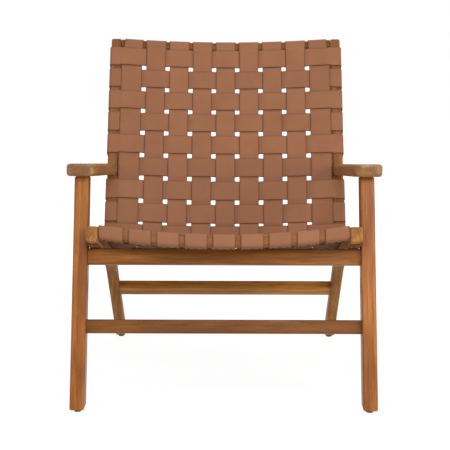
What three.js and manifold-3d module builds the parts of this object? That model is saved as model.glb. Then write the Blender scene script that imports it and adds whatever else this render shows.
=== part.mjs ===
// Lounge chair with a wooden frame and a sling seat woven from leather straps.
// Millimetres, +X to the right, +Y to the back, +Z up; the chair faces -Y.
import * as THREE from 'three';
import Module from 'manifold-3d';
import { mergeVertices, toCreasedNormals } from 'three/addons/utils/BufferGeometryUtils.js';

const wasm = await Module();
wasm.setup();

// Overall frame
const seatHeight = 403.7;          // upper edge of the side rail noses
const seatDepth = 408;             // nose to the corner of seat and back, along the rail
const backHeight = 579;            // that corner to the post tops, along the post
const insideWidth = 544;           // between the two side frames
const seatAngle = 17;              // degrees, seat falling to the back
const backAngle = 25.6;            // degrees, back leaning from upright
const rearLegAngle = 42;           // degrees, rear legs below level
const cornerRadius = 55;           // sweep between seat and back
const clearance = 0.3;             // between pieces that touch
const overrun = 5;                 // how far cutters reach past what they cut

// Side rails, posts and legs
const sideThickness = 26;
const railDepth = 34;
const rearLegDepth = 33;
const rearLegOffset = 16;          // corner to the lower edge of the rear leg, square to the leg
const kneeRadius = 150;
const crotchRadius = 25;
const hornLength = 12;             // rail wood above the sweep, where the post stands
const postDepth = 34;
const postTenonLength = 28;
const postTenonDepth = 20;
const tenonThickness = 11;
const edgeRadius = 4.5;
const noseRadius = 9;
const legWidth = 32;
const legDepth = 43;
const legTenonLength = 15;

// Crossbars
const barThickness = 20;
const barEdgeRadius = 4;
const barTenonLength = 15;
const tenonShoulder = 4;
const apronHeight = 36;
const stretcherHeight = 30;
const stretcherDrop = 209.5;       // seat line to the middle of the front stretcher
const rearStretcherWidth = 36;
const rearStretcherThickness = 23;
const rearStretcherDrop = 173;     // corner to the rear stretcher along the leg

// Dished rails under the straps
const frontRailHeight = 25;
const frontRailThickness = 24;
const topRailHeight = 21;
const topRailThickness = 24;
const dishedEdgeRadius = 5;
const dishedTenonLength = 15;

// Armrests
const armRise = 126.9;             // top of the front end above the seat's front edge
const armAngle = 5.1;              // degrees, falling to the back
const armThickness = 28.5;
const armFrontWidth = 65;
const armRearWidth = 29;
const armOverhang = 25;            // in front of the leg
const armCornerRadius = 20;
const armEdgeRadius = 7;
const dowelRadius = 4;
const dowelLength = 40;

// Leather straps
const strapCount = 9;
const rowCount = 15;
const strapGap = 11.4;             // between neighbouring straps of the back, both ways
const seatGap = 14;                // between neighbouring rows of the seat
const seatRowCount = 6;
const lumbarGap = 6.4;             // between the two lowest rows of the back
const railGap = 8;                 // front rail to the first row
const strapThickness = 2.6;
const layerGap = 0.4;              // between two straps where they cross
const strapTail = 22;              // what is turned under and tacked
const shortWrap = 26;              // cross straps that stop on the side of the frame
const frontDish = 20;              // how far the sling sags between the side frames
const cornerDish = 15;
const lumbarDish = 26;
const middleDish = 14;
const topDish = 22;

// Fasteners and glides
const boltRadius = 3;
const boltHeadRadius = 5.5;
const boltHeadHeight = 3.5;
const boltPlugHeight = 4;
const boltReach = 14;              // into the side rail
const spacerWall = 1.2;
const glideRadius = 8;
const glideHeight = 8;
const glideNailRadius = 1.5;
const glideNailLength = 12;

// How finely round stretches are stepped
const bendSteps = 3;
const cornerSteps = 14;
const roundSides = 20;
const tidyAngle = 0.6;

// Worked out from the sizes above
const strapPitch = insideWidth / strapCount;
const strapWidth = strapPitch - strapGap;
const sideInner = insideWidth / 2;
const sideOuter = sideInner + sideThickness;
const strapLift = clearance + strapThickness / 2;
const strapSwing = (strapThickness + layerGap) / 2;
const wrapAllowance = strapThickness + 2 * clearance;
const legInner = sideOuter + wrapAllowance;
const legOuter = legInner + legWidth;
const legMiddle = (legInner + legOuter) / 2;
const spacerRadius = boltRadius + clearance + spacerWall;

const radians = THREE.MathUtils.degToRad;
const cornerTurn = Math.PI / 2 - radians(backAngle) + radians(seatAngle);
const sweepReach = cornerRadius * Math.tan(cornerTurn / 2);
const sweepStart = seatDepth - sweepReach;
const sweepEnd = sweepStart + cornerRadius * cornerTurn;
const slingEnd = sweepEnd + backHeight - sweepReach;

// A side-view direction at so many degrees above level, towards the back
function direction(degrees) {
  return new THREE.Vector2(Math.cos(radians(degrees)), Math.sin(radians(degrees)));
}

const seatLine = direction(-seatAngle);
const seatUp = direction(90 - seatAngle);
const backLine = direction(90 - backAngle);
const backUp = direction(180 - backAngle);
const legLine = direction(-rearLegAngle);
const legUp = direction(90 - rearLegAngle);
const nose = new THREE.Vector2(0, seatHeight);

// A side-view point: so far along one direction and so far along another
function from(origin, along, distance, across, offset) {
  return origin.clone().addScaledVector(along, distance).addScaledVector(across, offset);
}

const corner = from(nose, seatLine, seatDepth, seatUp, 0);
const sweepCentre = from(nose, seatLine, sweepStart, seatUp, cornerRadius);

// The wood line under the sling at a distance from the nose: its point and its upward normal
function woodLine(distance) {
  if (distance < sweepStart) {
    return { point: from(nose, seatLine, distance, seatUp, 0), up: seatUp };
  }
  if (distance > sweepEnd) {
    return { point: from(corner, backLine, distance - sweepEnd + sweepReach, backUp, 0), up: backUp };
  }
  const turned = (distance - sweepStart) / cornerRadius;
  const up = seatUp.clone().rotateAround(new THREE.Vector2(), turned);
  return { point: sweepCentre.clone().addScaledVector(up, -cornerRadius), up };
}

// A side-view point that lies so far along the seat and so far above its wood
function onSeat(distance, lift) {
  return from(nose, seatLine, distance, seatUp, lift);
}

// The dished rails at the two ends of the sling
const front = { start: wrapAllowance, end: wrapAllowance + frontRailThickness };
const topStart = slingEnd - topRailHeight;
const top = { start: topStart, end: topStart + topRailHeight };

// Rows of cross straps fill the sling between the rails, counted from the front: those of the seat,
// the lowest of the back and the rest of the back
const firstEdge = front.end + railGap;
const lastEdge = top.start - clearance - wrapAllowance;
function gapsBefore(row) {
  if (row <= seatRowCount) return row * seatGap;
  return seatRowCount * seatGap + lumbarGap + (row - seatRowCount - 1) * strapGap;
}
const rowWidth = (lastEdge - firstEdge - gapsBefore(rowCount - 1)) / rowCount;
function rowPlace(row) {
  return firstEdge + rowWidth / 2 + row * rowWidth + gapsBefore(row);
}
const boltPlace = (rowPlace(0) + rowPlace(1)) / 2;

// Rows that lie on the sweep, apart from an end so short that it is as good as straight
const straightReach = Math.sqrt(2 * cornerRadius * clearance);
function isInSweep(row) {
  return rowPlace(row) + rowWidth / 2 > sweepStart + straightReach
    && rowPlace(row) - rowWidth / 2 < sweepEnd - straightReach;
}

// How far the sling hangs behind the side frames in its middle
const dishStations = [
  [rowPlace(0), frontDish],
  [rowPlace(3), frontDish],
  [rowPlace(5), cornerDish],
  [rowPlace(6), lumbarDish],
  [rowPlace(10), middleDish],
  [rowPlace(rowCount - 1), topDish],
];
function middleDepth(distance) {
  const next = dishStations.findIndex(([place]) => place > distance);
  if (next === 0) return frontDish;
  if (next < 0) return topDish;
  const [fromPlace, fromDish] = dishStations[next - 1];
  const [toPlace, toDish] = dishStations[next];
  const share = THREE.MathUtils.smoothstep(distance, fromPlace, toPlace);
  return fromDish + (toDish - fromDish) * share;
}
function dish(x, distance) {
  const share = Math.min(Math.abs(x) / sideInner, 1);
  return middleDepth(distance) * (1 - share * share);
}

// A point of the sling: x, distance from the nose, height above the dished wood line
function slingPoint(x, distance, lift) {
  const { point, up } = woodLine(distance);
  const height = lift - dish(x, distance);
  return new THREE.Vector3(x, point.x + up.x * height, point.y + up.y * height);
}

// Solids

// A closed mesh as a solid that can be joined and cut
function solidOf(geometry) {
  const bare = geometry.clone();
  bare.deleteAttribute('normal');
  bare.deleteAttribute('uv');
  const merged = mergeVertices(bare);
  return new wasm.Manifold(new wasm.Mesh({
    numProp: 3,
    vertProperties: new Float32Array(merged.attributes.position.array),
    triVerts: new Uint32Array(merged.index.array),
  }));
}

function geometryOf(solid) {
  const mesh = solid.getMesh();
  const geometry = new THREE.BufferGeometry();
  geometry.setAttribute('position', new THREE.BufferAttribute(mesh.vertProperties, 3));
  geometry.setIndex(new THREE.BufferAttribute(mesh.triVerts, 1));
  return toCreasedNormals(geometry, tidyAngle);
}

// A side-view outline sawn from a board that lies between two X values, with rounded edges
const sideToWorld = new THREE.Matrix4().makeBasis(
  new THREE.Vector3(0, 1, 0),
  new THREE.Vector3(0, 0, 1),
  new THREE.Vector3(1, 0, 0),
);
function sawn(shape, lowX, highX) {
  const geometry = new THREE.ExtrudeGeometry(shape, {
    depth: highX - lowX - 2 * edgeRadius,
    bevelEnabled: true,
    bevelThickness: edgeRadius,
    bevelSize: edgeRadius,
    bevelOffset: -edgeRadius,
    bevelSegments: bendSteps,
    curveSegments: cornerSteps,
  });
  geometry.translate(0, 0, lowX + edgeRadius);
  return solidOf(geometry.applyMatrix4(sideToWorld));
}

// A block turned in side view: its middle, its long direction there, and its three sizes
function block(middle, along, sizeX, sizeAlong, sizeAcross, x = 0) {
  const geometry = new THREE.BoxGeometry(sizeX, sizeAlong, sizeAcross);
  geometry.rotateX(Math.atan2(along.y, along.x));
  return solidOf(geometry.translate(x, middle.x, middle.y));
}

// A round pin or hole along X
function roundAlongX(radius, lowX, highX, middle) {
  const geometry = new THREE.CylinderGeometry(radius, radius, highX - lowX, roundSides);
  geometry.rotateZ(Math.PI / 2);
  return solidOf(geometry.translate((lowX + highX) / 2, middle.x, middle.y));
}

// A rectangle with round corners about a point, turned to a direction
function roundedRectangle(middle, along, sizeAlong, sizeAcross, radius) {
  const across = new THREE.Vector2(-along.y, along.x);
  const shape = new THREE.Shape();
  const corners = [[1, 1], [-1, 1], [-1, -1], [1, -1]];
  const place = (share, acrossShare, inA, inB) => from(
    middle, along, share * (sizeAlong / 2 - inA), across, acrossShare * (sizeAcross / 2 - inB));
  corners.forEach(([a, b], index) => {
    const early = index % 2 ? place(a, b, radius, 0) : place(a, b, 0, radius);
    const late = index % 2 ? place(a, b, 0, radius) : place(a, b, radius, 0);
    const tip = place(a, b, 0, 0);
    if (index) shape.lineTo(early.x, early.y);
    else shape.moveTo(early.x, early.y);
    shape.quadraticCurveTo(tip.x, tip.y, late.x, late.y);
  });
  shape.closePath();
  return shape;
}

// A straight bar along X between two shoulders, with a tenon at each end
function tenonedBar(middle, along, shoulderX, sizeAlong, sizeAcross) {
  const shape = roundedRectangle(middle, along, sizeAlong, sizeAcross, barEdgeRadius);
  const geometry = new THREE.ExtrudeGeometry(shape, {
    depth: 2 * shoulderX,
    bevelEnabled: false,
    curveSegments: bendSteps,
  });
  geometry.translate(0, 0, -shoulderX);
  const body = solidOf(geometry.applyMatrix4(sideToWorld));
  const tenon = block(middle, along, 2 * (shoulderX + barTenonLength),
    sizeAlong - 2 * tenonShoulder, tenonThickness);
  return body.add(tenon);
}

// The mortise for such a bar, on both sides of the chair
function barMortise(middle, along, sizeAlong, lowX) {
  const reach = 2 * (lowX + barTenonLength + 2 * clearance);
  return block(middle, along, reach, sizeAlong - 2 * tenonShoulder + 2 * clearance,
    tenonThickness + 2 * clearance);
}

// Rings of points joined into a closed solid; each ring is one closed outline
function loft(rings) {
  const around = rings[0].length;
  const positions = rings.flat().flatMap((point) => point.toArray());
  const faces = [];
  for (let ring = 0; ring + 1 < rings.length; ring += 1) {
    for (let step = 0; step < around; step += 1) {
      const a = ring * around + step;
      const b = ring * around + (step + 1) % around;
      faces.push(a, b, b + around, a, b + around, a + around);
    }
  }
  return { positions, faces, around };
}

function closedGeometry(positions, faces) {
  const geometry = new THREE.BufferGeometry();
  geometry.setAttribute('position', new THREE.Float32BufferAttribute(positions, 3));
  geometry.setIndex(faces);
  let volume = 0;
  const corners = [0, 1, 2].map(() => new THREE.Vector3());
  for (let index = 0; index < faces.length; index += 3) {
    corners.forEach((point, turn) => {
      point.fromBufferAttribute(geometry.attributes.position, faces[index + turn]);
    });
    volume += corners[0].dot(corners[1].clone().cross(corners[2]));
  }
  if (volume < 0) {
    for (let index = 0; index < faces.length; index += 3) {
      [faces[index], faces[index + 1]] = [faces[index + 1], faces[index]];
    }
    geometry.setIndex(faces);
  }
  return geometry;
}

// A rail that follows the dish of the sling: its section in sling distance and depth, swept in X
function dishedRail(start, height, thickness, dishPlace) {
  const shape = roundedRectangle(
    new THREE.Vector2(start + height / 2, -thickness / 2), direction(0), height, thickness,
    dishedEdgeRadius);
  const outline = shape.getPoints(bendSteps).slice(0, -1);
  const { point, up } = woodLine(start);
  const along = new THREE.Vector2(up.y, -up.x);
  const edges = strapEdges();
  const stations = [-sideInner + clearance, ...edges, sideInner - clearance];
  const rings = stations.map((x) => outline.map((spot) => {
    const place = from(point, along, spot.x - start, up, spot.y - dish(x, dishPlace));
    return new THREE.Vector3(x, place.x, place.y);
  }));
  const { positions, faces, around } = loft(rings);
  const last = (rings.length - 1) * around;
  for (let step = 1; step + 1 < around; step += 1) {
    faces.push(0, step + 1, step, last, last + step, last + step + 1);
  }
  const body = solidOf(closedGeometry(positions, faces));
  const middle = from(point, along, height / 2, up, -thickness / 2);
  const tenons = [-1, 1].map((side) => block(middle, along,
    dishedTenonLength + dishedEdgeRadius, height - 2 * dishedEdgeRadius, tenonThickness,
    side * (sideInner + (dishedTenonLength - dishedEdgeRadius) / 2)));
  return { solid: body.add(tenons[0]).add(tenons[1]), middle, along };
}

// Where the long straps have their edges, from left to right
function strapMiddle(strap) {
  return (strap - (strapCount - 1) / 2) * strapPitch;
}
function strapEdges() {
  return Array.from({ length: strapCount }, (_, strap) => strapMiddle(strap))
    .flatMap((x) => [x - strapWidth / 2, x + strapWidth / 2]);
}

// The side rail with its rear leg, as one sawn outline
function railOutline() {
  const shape = new THREE.Shape();
  const railFoot = (distance) => onSeat(distance, -railDepth);
  const legFoot = (distance, offset) => from(corner, legLine, distance, legUp, offset - rearLegOffset);
  const ground = glideHeight;
  // crossing of two side-view lines, each a point and a direction
  const crossing = (p, u, q, v) => {
    const reach = ((q.x - p.x) * v.y - (q.y - p.y) * v.x) / (u.x * v.y - u.y * v.x);
    return from(p, u, reach, u, 0);
  };
  const kneeTip = crossing(railFoot(0), seatLine, legFoot(0, 0), legLine);
  const kneeReach = kneeRadius * Math.tan(radians(rearLegAngle - seatAngle) / 2);
  const postBack = from(corner, backLine, 0, backUp, -postDepth);
  const crotchTip = crossing(postBack, backLine, legFoot(0, rearLegDepth), legLine);
  const level = direction(0);
  const heel = crossing(legFoot(0, rearLegDepth), legLine, new THREE.Vector2(0, ground), level);
  const toe = crossing(legFoot(0, 0), legLine, new THREE.Vector2(0, ground), level);
  const draw = (point) => shape.lineTo(point.x, point.y);
  const round = (tip, early, late) => {
    draw(early);
    shape.quadraticCurveTo(tip.x, tip.y, late.x, late.y);
  };
  const start = onSeat(noseRadius, 0);
  shape.moveTo(start.x, start.y);
  for (let step = 0; step <= cornerSteps; step += 1) {
    draw(woodLine(sweepStart + (sweepEnd - sweepStart) * step / cornerSteps).point);
  }
  draw(woodLine(sweepEnd + hornLength).point);
  draw(from(woodLine(sweepEnd + hornLength).point, backUp, -postDepth, backLine, 0));
  round(crotchTip, from(crotchTip, backLine, crotchRadius, backUp, 0),
    from(crotchTip, legLine, crotchRadius, legUp, 0));
  draw(heel);
  draw(toe);
  round(kneeTip, from(kneeTip, legLine, kneeReach, legUp, 0),
    from(kneeTip, seatLine, -kneeReach, seatUp, 0));
  round(railFoot(0), onSeat(noseRadius, -railDepth), onSeat(0, noseRadius - railDepth));
  round(nose, onSeat(0, -noseRadius), start);
  return { shape, heel, toe };
}

// Straps

// Points of a bend that turns to the right; a normal points away from its centre
function rightBend(across, lift, radius, fromDegrees, toDegrees) {
  return Array.from({ length: bendSteps + 1 }, (_, step) => {
    const degrees = fromDegrees + (toDegrees - fromDegrees) * step / bendSteps;
    const out = direction(degrees);
    return { across: across + radius * out.x, lift: lift + radius * out.y, out };
  });
}

// Points of a bend that turns to the left; a normal points to its centre
function leftBend(across, lift, radius, fromDegrees, toDegrees) {
  return rightBend(across, lift, radius, fromDegrees, toDegrees)
    .map((spot) => ({ ...spot, out: spot.out.clone().negate() }));
}

// A strap from its upper and lower faces, each a grid of points with the same rows and columns
function strapGeometry(upper, lower) {
  const rows = upper.length;
  const columns = upper[0].length;
  const positions = [upper, lower].flat(2).flatMap((point) => point.toArray());
  const at = (face, row, column) => (face * rows + row) * columns + column;
  const faces = [];
  const quad = (a, b, c, d) => faces.push(a, b, c, a, c, d);
  for (let row = 0; row + 1 < rows; row += 1) {
    for (let column = 0; column + 1 < columns; column += 1) {
      quad(at(0, row, column), at(0, row, column + 1), at(0, row + 1, column + 1), at(0, row + 1, column));
      quad(at(1, row, column), at(1, row + 1, column), at(1, row + 1, column + 1), at(1, row, column + 1));
    }
    const end = columns - 1;
    quad(at(0, row, 0), at(0, row + 1, 0), at(1, row + 1, 0), at(1, row, 0));
    quad(at(0, row, end), at(1, row, end), at(1, row + 1, end), at(0, row + 1, end));
  }
  for (let column = 0; column + 1 < columns; column += 1) {
    const end = rows - 1;
    quad(at(0, 0, column), at(1, 0, column), at(1, 0, column + 1), at(0, 0, column + 1));
    quad(at(0, end, column), at(0, end, column + 1), at(1, end, column + 1), at(1, end, column));
  }
  return closedGeometry(positions, faces);
}

// Whether a row passes over a long strap, on the sitter's side
function rowIsOver(row, strap) {
  return (row + strap) % 2 === 0;
}

// The shares of a row's half width at which it is drawn
function rowShares(row) {
  return isInSweep(row) ? [-1, -0.5, 0, 0.5, 1] : [-1, 1];
}

// Where such a share lies. The sling is longer than the wood line in the sweep, as it hangs outside
// it there, and a row keeps its true width all the same.
function rowDistance(row, share, x) {
  const place = rowPlace(row);
  const excess = dish(x, place) / cornerRadius;
  const inSweep = (distance) => THREE.MathUtils.clamp(distance, sweepStart, sweepEnd);
  const length = place + excess * inSweep(place) + share * rowWidth / 2;
  return length - excess * inSweep(length / (1 + excess));
}

// A long strap: round the front rail, over and under the rows, and round the top rail
function longStrap(strap, frontRail, topRail) {
  const spots = [];
  const bend = dishedEdgeRadius + strapLift;
  const { start, end } = frontRail;
  const height = frontRailHeight;
  const flat = direction(90);
  spots.push({ across: end, lift: -height - strapLift, out: direction(-90) });
  spots.push(...rightBend(start + dishedEdgeRadius, -height + dishedEdgeRadius, bend, 270, 180));
  spots.push(...rightBend(start + dishedEdgeRadius, -dishedEdgeRadius, bend, 180, 90));
  spots.push({ across: end, lift: strapLift, out: flat });
  for (let row = 0; row < rowCount; row += 1) {
    const swing = rowIsOver(row, strap) ? -strapSwing : strapSwing;
    rowShares(row).forEach((share) => {
      spots.push({ row, share, lift: strapLift + swing, out: flat });
    });
  }
  const top = topRail.end - dishedEdgeRadius;
  spots.push({ across: topRail.start + dishedEdgeRadius, lift: strapLift, out: flat });
  spots.push(...rightBend(top, -dishedEdgeRadius, bend, 90, 0));
  spots.push(...rightBend(top, -topRailThickness + dishedEdgeRadius, bend, 0, -90));
  spots.push({ across: topRail.start, lift: -topRailThickness - strapLift, out: direction(-90) });
  const middle = strapMiddle(strap);
  const face = (side) => spots.map((spot) => [-1, 1].map((edge) => {
    const x = middle + edge * strapWidth / 2;
    const across = spot.row === undefined ? spot.across : rowDistance(spot.row, spot.share, x);
    const half = side * strapThickness / 2;
    return slingPoint(x, across + half * spot.out.x, spot.lift + half * spot.out.y);
  }));
  return strapGeometry(face(1), face(-1));
}

// The right-hand end of a row, as places in X and height above the wood
function rowEnd(row) {
  const onPost = rowPlace(row) > sweepEnd;
  const depth = onPost ? postDepth : railDepth;
  const bend = edgeRadius + strapLift;
  if (isBehindPost(row)) {
    const under = strapLift - strapSwing;
    const turn = strapSwing;
    const slit = sideInner - strapLift;
    return [
      ...rightBend(slit - turn, under - turn, turn, 90, 0),
      ...leftBend(sideInner + edgeRadius, edgeRadius - depth, bend, 180, 270),
      { across: sideOuter - edgeRadius, lift: -depth - strapLift, out: direction(90) },
    ];
  }
  const over = [
    { across: sideInner, lift: strapLift, out: direction(90) },
    ...rightBend(sideOuter - edgeRadius, -edgeRadius, bend, 90, 0),
  ];
  if (isInSweep(row)) {
    return [...over, { across: sideOuter + strapLift, lift: -shortWrap, out: direction(0) }];
  }
  return [
    ...over,
    ...rightBend(sideOuter - edgeRadius, edgeRadius - depth, bend, 0, -90),
    { across: sideOuter - strapTail, lift: -depth - strapLift, out: direction(-90) },
  ];
}

// A cross strap: over and under the long straps and round both side frames
function crossStrap(row) {
  const rightEnd = rowEnd(row);
  const leftEnd = rightEnd.map((spot) => ({
    ...spot,
    across: -spot.across,
    out: new THREE.Vector2(-spot.out.x, spot.out.y),
  })).reverse();
  const field = strapEdges().map((x, index) => {
    const swing = rowIsOver(row, Math.floor(index / 2)) ? strapSwing : -strapSwing;
    return { across: x, lift: strapLift + swing, out: direction(90) };
  });
  const squareUp = woodLine(rowPlace(row)).up;
  const face = (side) => [...leftEnd, ...field, ...rightEnd].map((spot) => rowShares(row).map((share) => {
    const inField = Math.abs(spot.across) < sideInner && spot.lift > 0;
    const half = side * strapThickness / 2;
    const distance = rowDistance(row, share, inField ? spot.across : sideInner);
    if (inField) return slingPoint(spot.across + half * spot.out.x, distance, spot.lift + half * spot.out.y);
    const base = slingPoint(Math.sign(spot.across) * sideInner, distance, strapLift + half * spot.out.y);
    const sink = spot.lift - strapLift;
    return new THREE.Vector3(spot.across + half * spot.out.x, base.y + squareUp.x * sink,
      base.z + squareUp.y * sink);
  }));
  return strapGeometry(face(1), face(-1));
}

// Materials
const wood = (color) => new THREE.MeshStandardMaterial({ color, roughness: 0.5, metalness: 0 });
const teak = wood(0x9f6535);
const darkTeak = wood(0x8a5a30);
const leather = new THREE.MeshStandardMaterial({ color: 0x9b6a50, roughness: 0.62, metalness: 0 });
const steel = new THREE.MeshStandardMaterial({ color: 0x8d8f92, roughness: 0.35, metalness: 0.9 });
const nylon = new THREE.MeshStandardMaterial({ color: 0x2b241f, roughness: 0.6, metalness: 0 });

const chair = new THREE.Group();
function addPiece(name, geometry, material) {
  const mesh = new THREE.Mesh(geometry, material);
  mesh.name = name;
  chair.add(mesh);
}
function addSolid(name, solid, material) {
  addPiece(name, geometryOf(solid), material);
}

// Crossbars: places in side view
const wrapBottom = -railDepth - wrapAllowance;
const apronMiddle = onSeat(boltPlace, wrapBottom - apronHeight / 2);
const stretcherMiddle = onSeat(boltPlace, -stretcherDrop);
const legAxis = seatUp;
const legCentreOffset = rearLegDepth / 2 - rearLegOffset;
const rearStretcherMiddle = from(corner, legLine, rearStretcherDrop, legUp, legCentreOffset);

const frontRail = dishedRail(front.start, frontRailThickness, frontRailHeight, front.start);
const topRail = dishedRail(top.start, topRailHeight, topRailThickness, slingEnd);
addSolid('seat_front_rail', frontRail.solid, teak);
addSolid('back_top_rail', topRail.solid, teak);

const barShoulder = legInner - clearance;
const sideShoulder = sideInner - clearance;
addSolid('front_apron', tenonedBar(apronMiddle, legAxis, barShoulder, apronHeight, barThickness), darkTeak);
addSolid('front_stretcher',
  tenonedBar(stretcherMiddle, legAxis, barShoulder, stretcherHeight, barThickness), teak);
addSolid('rear_stretcher',
  tenonedBar(rearStretcherMiddle, legLine, sideShoulder, rearStretcherWidth, rearStretcherThickness),
  darkTeak);

// A mortise for a dished rail, on both sides of the chair
function dishedMortise({ middle, along }, height) {
  return block(middle, along, 2 * (sideInner + dishedTenonLength + clearance),
    height - 2 * dishedEdgeRadius + 2 * clearance, tenonThickness + 2 * clearance);
}

// The post stands on the horn of the side rail with a tenon
const postFoot = sweepEnd + hornLength;
const postTenonMiddle = from(woodLine(postFoot).point, backLine, 0, backUp, -postDepth / 2);

// The armrest's top line, from its front end to the back
const legTopX = onSeat(boltPlace, armRise).x;
const armFront = new THREE.Vector2(legTopX - legDepth / 2 - armOverhang, seatHeight + armRise);
const armLine = direction(-armAngle);
const armUp = direction(90 - armAngle);
const armPoint = (along, depth) => from(armFront, armLine, along, armUp, -depth);

// How far along the armrest a side-view line through a point is met, at mid-thickness
function armReach(point, line) {
  const start = armPoint(0, armThickness / 2);
  const gap = point.clone().sub(start);
  return (gap.x * line.y - gap.y * line.x) / (armLine.x * line.y - armLine.y * line.x);
}
const armLength = armReach(corner, backLine);
const legAlongArm = armReach(onSeat(boltPlace, 0), legAxis);

// Plan of the armrest: a paddle in front that narrows to the post
function armShape(side) {
  const shape = new THREE.Shape();
  const place = (x, along) => [side * x, along];
  const outer = legMiddle + armFrontWidth / 2;
  const inner = legMiddle - armFrontWidth / 2;
  const rearOuter = sideInner + armRearWidth;
  const tail = armLength + armThickness;
  const r = armCornerRadius;
  shape.moveTo(...place(inner, r));
  shape.quadraticCurveTo(...place(inner, 0), ...place(inner + r, 0));
  shape.lineTo(...place(outer - r, 0));
  shape.quadraticCurveTo(...place(outer, 0), ...place(outer, r));
  shape.lineTo(...place(outer, armLength / 5));
  shape.bezierCurveTo(...place(outer, armLength / 2), ...place(rearOuter, armLength / 2),
    ...place(rearOuter, armLength));
  shape.lineTo(...place(rearOuter, tail));
  shape.lineTo(...place(sideInner, tail));
  shape.lineTo(...place(sideInner, armLength));
  shape.closePath();
  return shape;
}

function armrest(side) {
  const geometry = new THREE.ExtrudeGeometry(armShape(side), {
    depth: armThickness - 2 * armEdgeRadius,
    bevelEnabled: true,
    bevelThickness: armEdgeRadius,
    bevelSize: armEdgeRadius,
    bevelOffset: -armEdgeRadius,
    bevelSegments: bendSteps,
    curveSegments: cornerSteps,
  });
  geometry.translate(0, 0, armEdgeRadius - armThickness);
  geometry.rotateX(-radians(armAngle));
  geometry.translate(0, armFront.x, armFront.y);
  return solidOf(geometry);
}

// Everything behind the front face of the posts, to cut the armrests square to them
function behindPost() {
  const depth = armLength;
  const middle = from(corner, backLine, backHeight / 2, backUp, clearance - depth / 2);
  return block(middle, backLine, 2 * (legOuter + armFrontWidth), backHeight, depth);
}

// Rows that the end of an armrest leaves no room for in front of the posts pass behind them
const dowelMiddle = armPoint(armLength, armThickness / 2);
const armPlace = sweepEnd - sweepReach + dowelMiddle.clone().sub(corner).dot(backLine);
const armHalf = armThickness / 2 / armUp.dot(backLine);
function isBehindPost(row) {
  return Math.abs(rowPlace(row) - armPlace) < rowWidth / 2 + armHalf + 2 * clearance;
}

function dowel(side, extra) {
  const geometry = new THREE.CylinderGeometry(dowelRadius + extra, dowelRadius + extra,
    dowelLength + 2 * extra, roundSides);
  geometry.rotateX(-radians(armAngle));
  return solidOf(geometry.translate(side * (sideInner + sideThickness / 2), dowelMiddle.x, dowelMiddle.y));
}

// The leg's tenon in the armrest, square to the armrest
const legTopMiddle = armPoint(legAlongArm, armThickness);
function legTenon(extra) {
  return (side) => block(legTopMiddle, armLine, legWidth - 2 * tenonShoulder + 2 * extra,
    legDepth / 2 + 2 * extra, 2 * (legTenonLength + extra), side * legMiddle);
}

// A glide under a foot: a disc with a nail, turned about an upright axis
function glide(x, y) {
  const profile = [
    [0, 0],
    [glideRadius - glideHeight / 8, 0],
    [glideRadius, glideHeight / 8],
    [glideRadius, glideHeight - clearance],
    [glideNailRadius, glideHeight - clearance],
    [glideNailRadius, glideHeight + glideNailLength],
    [0, glideHeight + glideNailLength],
  ].map(([radius, height]) => new THREE.Vector2(radius, height));
  const geometry = new THREE.LatheGeometry(profile, roundSides);
  geometry.rotateX(Math.PI / 2);
  geometry.translate(x, y, 0);
  return solidOf(geometry);
}
function nailHole(x, y) {
  const reach = glideNailLength + overrun + clearance;
  const radius = glideNailRadius + clearance;
  const geometry = new THREE.CylinderGeometry(radius, radius, reach, roundSides);
  geometry.rotateX(Math.PI / 2);
  return solidOf(geometry.translate(x, y, glideHeight - overrun + reach / 2));
}

// The front leg: square to the seat rail, level at the foot, cut to the armrest at the top
function legShape() {
  const shape = new THREE.Shape();
  const down = (offset) => {
    const start = onSeat(boltPlace + offset, 0);
    return from(start, legAxis, -(start.y - glideHeight) / legAxis.y, legAxis, 0);
  };
  const up = (offset) => {
    const start = onSeat(boltPlace + offset, 0);
    const under = armPoint(0, armThickness + clearance);
    const gap = under.clone().sub(start);
    const reach = (gap.x * armLine.y - gap.y * armLine.x) / (legAxis.x * armLine.y - legAxis.y * armLine.x);
    return from(start, legAxis, reach, legAxis, 0);
  };
  const points = [down(-legDepth / 2), down(legDepth / 2), up(legDepth / 2), up(-legDepth / 2)];
  shape.setFromPoints(points);
  return { shape, foot: (points[0].x + points[1].x) / 2 };
}

// The post's outline, from the horn to its top
function postShape() {
  const length = slingEnd - postFoot - clearance;
  const low = from(woodLine(postFoot).point, backLine, clearance, backUp, 0);
  const shape = new THREE.Shape();
  shape.setFromPoints([low, from(low, backLine, length, backUp, 0),
    from(low, backLine, length, backUp, -postDepth), from(low, backLine, 0, backUp, -postDepth)]);
  return shape;
}

// Room for the lower half of the post's tenon and for the upper half of the leg's
function tenonSide() {
  const reach = 2 * postTenonLength;
  const middle = from(postTenonMiddle, backLine, 2 * clearance + edgeRadius - reach / 2, backUp, 0);
  return block(middle, backLine, 2 * sideOuter, reach, postDepth);
}
function aboveLeg() {
  const reach = 2 * legTenonLength;
  const middle = from(legTopMiddle, armLine, 0, armUp, reach / 2 - clearance - edgeRadius);
  return block(middle, armLine, 2 * legOuter, 2 * legDepth, reach);
}

const rail = railOutline();
const rearFoot = (rail.heel.x + rail.toe.x) / 2;
const leg = legShape();
const boltMiddle = onSeat(boltPlace, -railDepth / 2);
const sideMiddle = sideInner + sideThickness / 2;

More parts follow.
